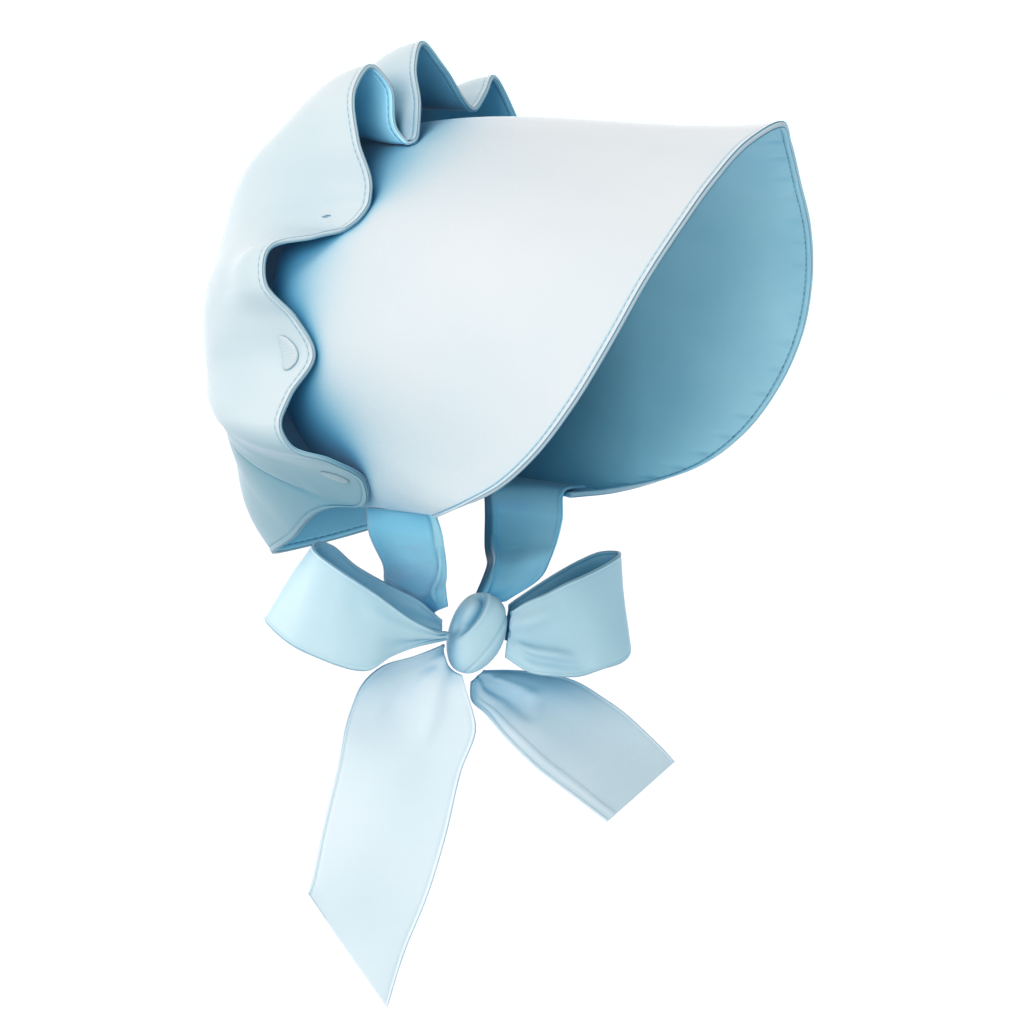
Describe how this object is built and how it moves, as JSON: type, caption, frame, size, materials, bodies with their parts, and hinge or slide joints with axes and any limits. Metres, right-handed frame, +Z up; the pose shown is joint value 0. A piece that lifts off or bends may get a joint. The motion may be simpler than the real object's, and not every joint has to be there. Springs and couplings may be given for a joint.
{
  "type": "bonnet",
  "caption": "Cloth bonnet with a stiffened poke brim, a loose gathered crown with a deep fluted front edge, and wide ribbon ties in a bow.",
  "frame": {"origin": "top of the brim over the crown of the wearer's head, on the middle plane, where the bonnet rests on the head", "axes": "+Z up, the brim opens towards -Y, +X is the wearer's left"},
  "size_m": [0.2268, 0.3086, 0.4836],
  "materials": {
    "brim_cloth": "smooth pale blue sateen over a stiffener",
    "crown_cloth": "smooth pale blue sateen",
    "ribbon_cloth": "pale blue sateen ribbon"
  },
  "bodies": {
    "root": {"brim": "brim_cloth", "crown": "crown_cloth", "pad_1_right": "crown_cloth", "pad_2_right": "crown_cloth", "pad_2_left": "crown_cloth", "pad_1_left": "crown_cloth", "knot": "ribbon_cloth", "strap_right": "ribbon_cloth", "strap_left": "ribbon_cloth", "loop_right": "ribbon_cloth", "loop_left": "ribbon_cloth", "tail_right": "ribbon_cloth", "tail_left": "ribbon_cloth"}
  },
  "joints": []
}
